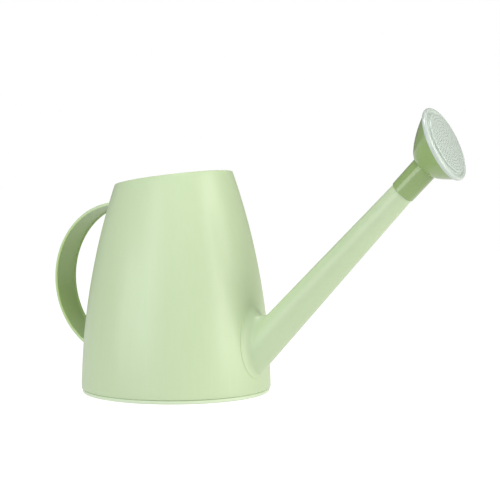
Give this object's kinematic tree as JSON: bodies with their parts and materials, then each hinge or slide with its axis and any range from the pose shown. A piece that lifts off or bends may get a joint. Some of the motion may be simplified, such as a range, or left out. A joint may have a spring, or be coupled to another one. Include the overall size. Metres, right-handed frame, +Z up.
{
  "type": "watering can",
  "caption": "Round moulded watering can with a slanted mouth, a strap handle, a long straight spout and a tilted rose that turns and pulls off.",
  "frame": {"origin": "centre of the foot on the surface that the can stands on", "axes": "+Z up, +X from the can towards the spout, handle towards -X, and y = 0 is the plane of symmetry"},
  "size_m": [0.438, 0.1894, 0.2755],
  "materials": {
    "can_plastic": "satin pale sage green",
    "rose_plastic": "glossy olive green",
    "face_plastic": "glossy off-white",
    "seal_rubber": "matte soft washer"
  },
  "bodies": {
    "can": {"body_shell": "can_plastic", "base_pan": "can_plastic", "spout_tube": "can_plastic", "handle_strap": "can_plastic"},
    "seal": {"rose_seal": "seal_rubber"},
    "rose": {"rose_socket": "rose_plastic", "rose_cup": "rose_plastic"},
    "face": {"rose_face": "face_plastic"}
  },
  "joints": [
    {"name": "rose_pull_off", "type": "slide", "parent": "can", "child": "seal", "axis": [0.6997, 0, 0.7145], "range_m": [0, 0.04]},
    {"name": "rose_turn", "type": "hinge", "parent": "seal", "child": "rose", "pos_m": [0.09, 0, 0.0423], "axis": [0.6997, 0, 0.7145], "continuous": true},
    {"name": "face_unclip", "type": "slide", "parent": "rose", "child": "face", "axis": [0.9135, 0, 0.4067], "range_m": [0, 0.012]}
  ]
}
